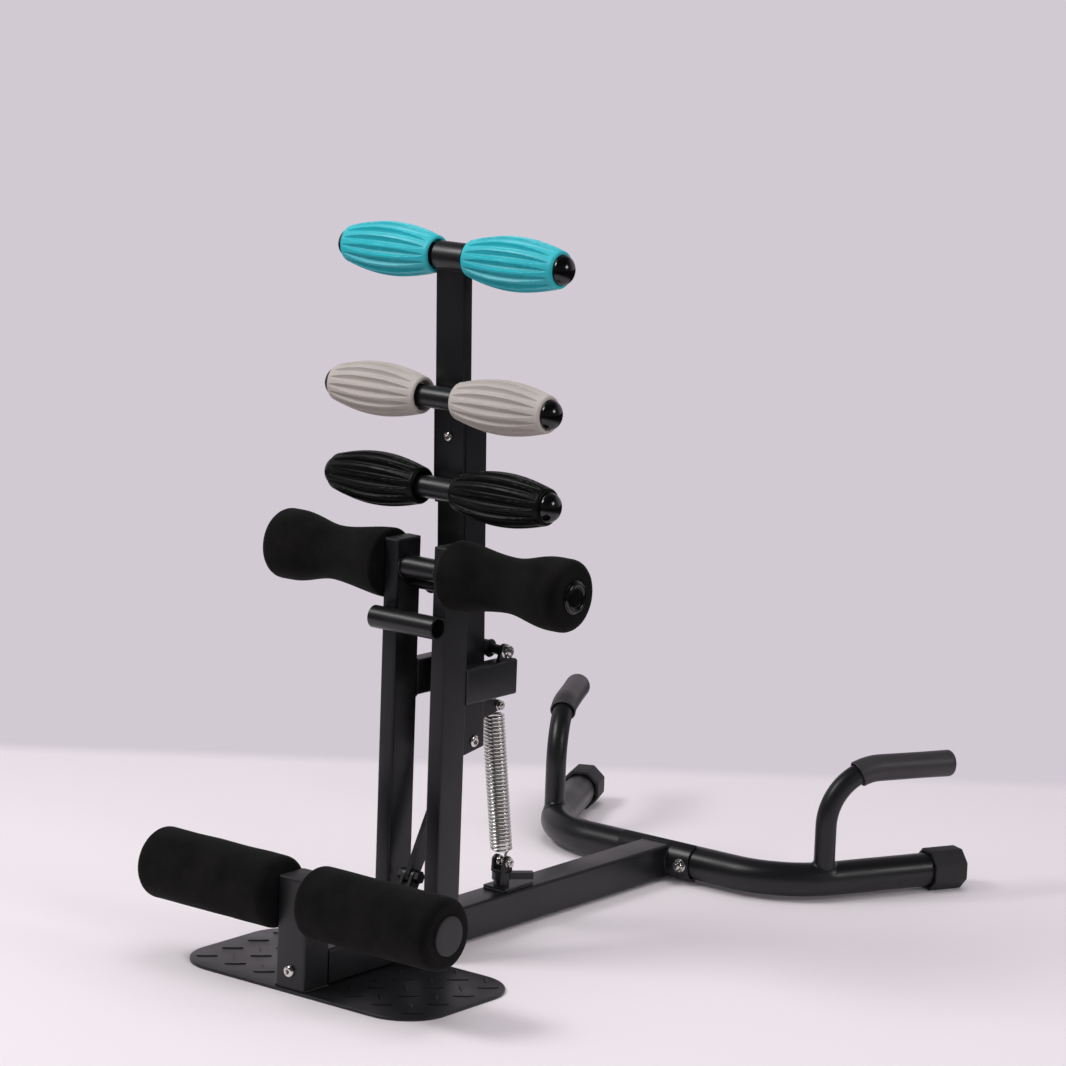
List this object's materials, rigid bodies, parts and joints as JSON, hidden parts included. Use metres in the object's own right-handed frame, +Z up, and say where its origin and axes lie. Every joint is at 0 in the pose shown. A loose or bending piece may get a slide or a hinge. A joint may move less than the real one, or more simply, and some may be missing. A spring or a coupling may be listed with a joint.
{
  "type": "lean-back squat trainer",
  "caption": "Floor-standing trainer with a tread plate, foam leg rollers and a sprung tilting mast with fluted massage rollers; a U-shaped rear bar carries grips.",
  "frame": {"origin": "centre of the foot plate's underside, on the floor", "axes": "+Z up, +Y to the rear, the side that the mast tilts to, and +X across, along the axles"},
  "size_m": [0.6012, 0.9201, 0.8016],
  "materials": {
    "black_coat": "satin black powder coat",
    "black_foam": "matt black foam sleeve",
    "black_rubber": "matt black moulded rubber",
    "gloss_black": "glossy black moulded cap",
    "cyan_plastic": "satin turquoise moulded roller",
    "grey_plastic": "satin warm pale grey moulded roller",
    "black_plastic": "semi-gloss black moulded roller",
    "zinc": "bright zinc plate",
    "pale_rubber": "pale grey rubber buffer"
  },
  "bodies": {
    "base": {"foot_plate": "black_coat", "base_beam": "black_coat", "front_upright": "black_coat", "front_upright_cap": "black_rubber", "front_bolt": "zinc", "ankle_axle": "black_coat", "seat_axle": "black_coat", "ankle_cap_left": "black_rubber", "knee_plug_left": "gloss_black", "post_left": "black_coat", "post_cap_left": "black_rubber", "foot_cap_left": "black_rubber", "hand_grip_left": "black_rubber", "saddle_bolt_left": "zinc", "ankle_cap_right": "black_rubber", "knee_plug_right": "gloss_black", "post_right": "black_coat", "post_cap_right": "black_rubber", "foot_cap_right": "black_rubber", "hand_grip_right": "black_rubber", "saddle_bolt_right": "zinc", "cross_bar": "black_coat", "stop_rod": "black_coat", "stop_buffer": "pale_rubber", "pivot_bolt": "zinc", "stay_bracket": "black_coat", "stay_bolt": "black_coat", "spring_anchor": "black_coat", "anchor_bolt": "zinc", "rear_bar": "black_coat", "saddle": "black_coat"},
    "mast": {"lower_mast": "black_coat", "upper_mast": "black_coat", "mast_screw": "zinc", "foot_bolt": "zinc", "spring_bolt": "zinc", "top_axle": "black_coat", "middle_axle": "black_coat", "lower_axle": "black_coat", "top_dome_left": "gloss_black", "top_dome_right": "gloss_black", "middle_dome_left": "gloss_black", "middle_dome_right": "gloss_black", "lower_dome_left": "gloss_black", "lower_dome_right": "gloss_black"},
    "top_roller_left": {"top_roller_left": "cyan_plastic"},
    "top_roller_right": {"top_roller_right": "cyan_plastic"},
    "middle_roller_left": {"middle_roller_left": "grey_plastic"},
    "middle_roller_right": {"middle_roller_right": "grey_plastic"},
    "lower_roller_left": {"lower_roller_left": "black_plastic"},
    "lower_roller_right": {"lower_roller_right": "black_plastic"},
    "ankle_foam_left": {"ankle_foam_left": "black_foam"},
    "knee_foam_left": {"knee_foam_left": "black_foam"},
    "ankle_foam_right": {"ankle_foam_right": "black_foam"},
    "knee_foam_right": {"knee_foam_right": "black_foam"},
    "stay": {"limit_stay": "black_coat"},
    "spring_link": {"spring": "zinc"},
    "lever": {"anchor_lever": "black_coat"}
  },
  "joints": [
    {"name": "mast_tilt", "type": "hinge", "parent": "base", "child": "mast", "pos_m": [0, 0.20605, 0.335], "axis": [-1, 0, 0], "range_deg": [0, 30], "stiffness_Nm_per_rad": 6.5, "springref_deg": 6.88},
    {"name": "stay_swing", "type": "hinge", "parent": "base", "child": "stay", "pos_m": [0, 0.10605, 0.09], "axis": [-1, 0, 0], "range_deg": [-20, 0.5]},
    {"name": "spring_swing", "type": "hinge", "parent": "base", "child": "spring_link", "pos_m": [0, 0.26605, 0.076], "axis": [-1, 0, 0], "range_deg": [-13, 0.5], "deforming": ["spring"]},
    {"name": "lever_swing", "type": "hinge", "parent": "base", "child": "lever", "pos_m": [0, 0.26605, 0.0552], "axis": [0, 0, 1], "range_deg": [-40, 40]},
    {"name": "top_roller_left_spin", "type": "hinge", "parent": "mast", "child": "top_roller_left", "pos_m": [-0.085, 0.14622, 0.77233], "axis": [1, 0, 0], "continuous": true},
    {"name": "top_roller_right_spin", "type": "hinge", "parent": "mast", "child": "top_roller_right", "pos_m": [0.085, 0.14622, 0.77233], "axis": [1, 0, 0], "continuous": true},
    {"name": "middle_roller_left_spin", "type": "hinge", "parent": "mast", "child": "middle_roller_left", "pos_m": [-0.0865, 0.13178, 0.61926], "axis": [1, 0, 0], "continuous": true},
    {"name": "middle_roller_right_spin", "type": "hinge", "parent": "mast", "child": "middle_roller_right", "pos_m": [0.0865, 0.13178, 0.61926], "axis": [1, 0, 0], "continuous": true},
    {"name": "lower_roller_left_spin", "type": "hinge", "parent": "mast", "child": "lower_roller_left", "pos_m": [-0.087, 0.13563, 0.51913], "axis": [1, 0, 0], "continuous": true},
    {"name": "lower_roller_right_spin", "type": "hinge", "parent": "mast", "child": "lower_roller_right", "pos_m": [0.087, 0.13563, 0.51913], "axis": [1, 0, 0], "continuous": true},
    {"name": "ankle_foam_left_spin", "type": "hinge", "parent": "base", "child": "ankle_foam_left", "pos_m": [-0.10225, -0.07995, 0.1027], "axis": [1, 0, 0], "continuous": true},
    {"name": "ankle_foam_right_spin", "type": "hinge", "parent": "base", "child": "ankle_foam_right", "pos_m": [0.10225, -0.07995, 0.1027], "axis": [1, 0, 0], "continuous": true},
    {"name": "knee_foam_left_spin", "type": "hinge", "parent": "base", "child": "knee_foam_left", "pos_m": [-0.103, 0.11105, 0.4338], "axis": [1, 0, 0], "continuous": true},
    {"name": "knee_foam_right_spin", "type": "hinge", "parent": "base", "child": "knee_foam_right", "pos_m": [0.103, 0.11105, 0.4338], "axis": [1, 0, 0], "continuous": true}
  ],
  "couplings": [
    {"joint": "stay_swing", "follows": "mast_tilt", "ratio": -0.626},
    {"joint": "spring_swing", "follows": "mast_tilt", "ratio": -0.408}
  ]
}
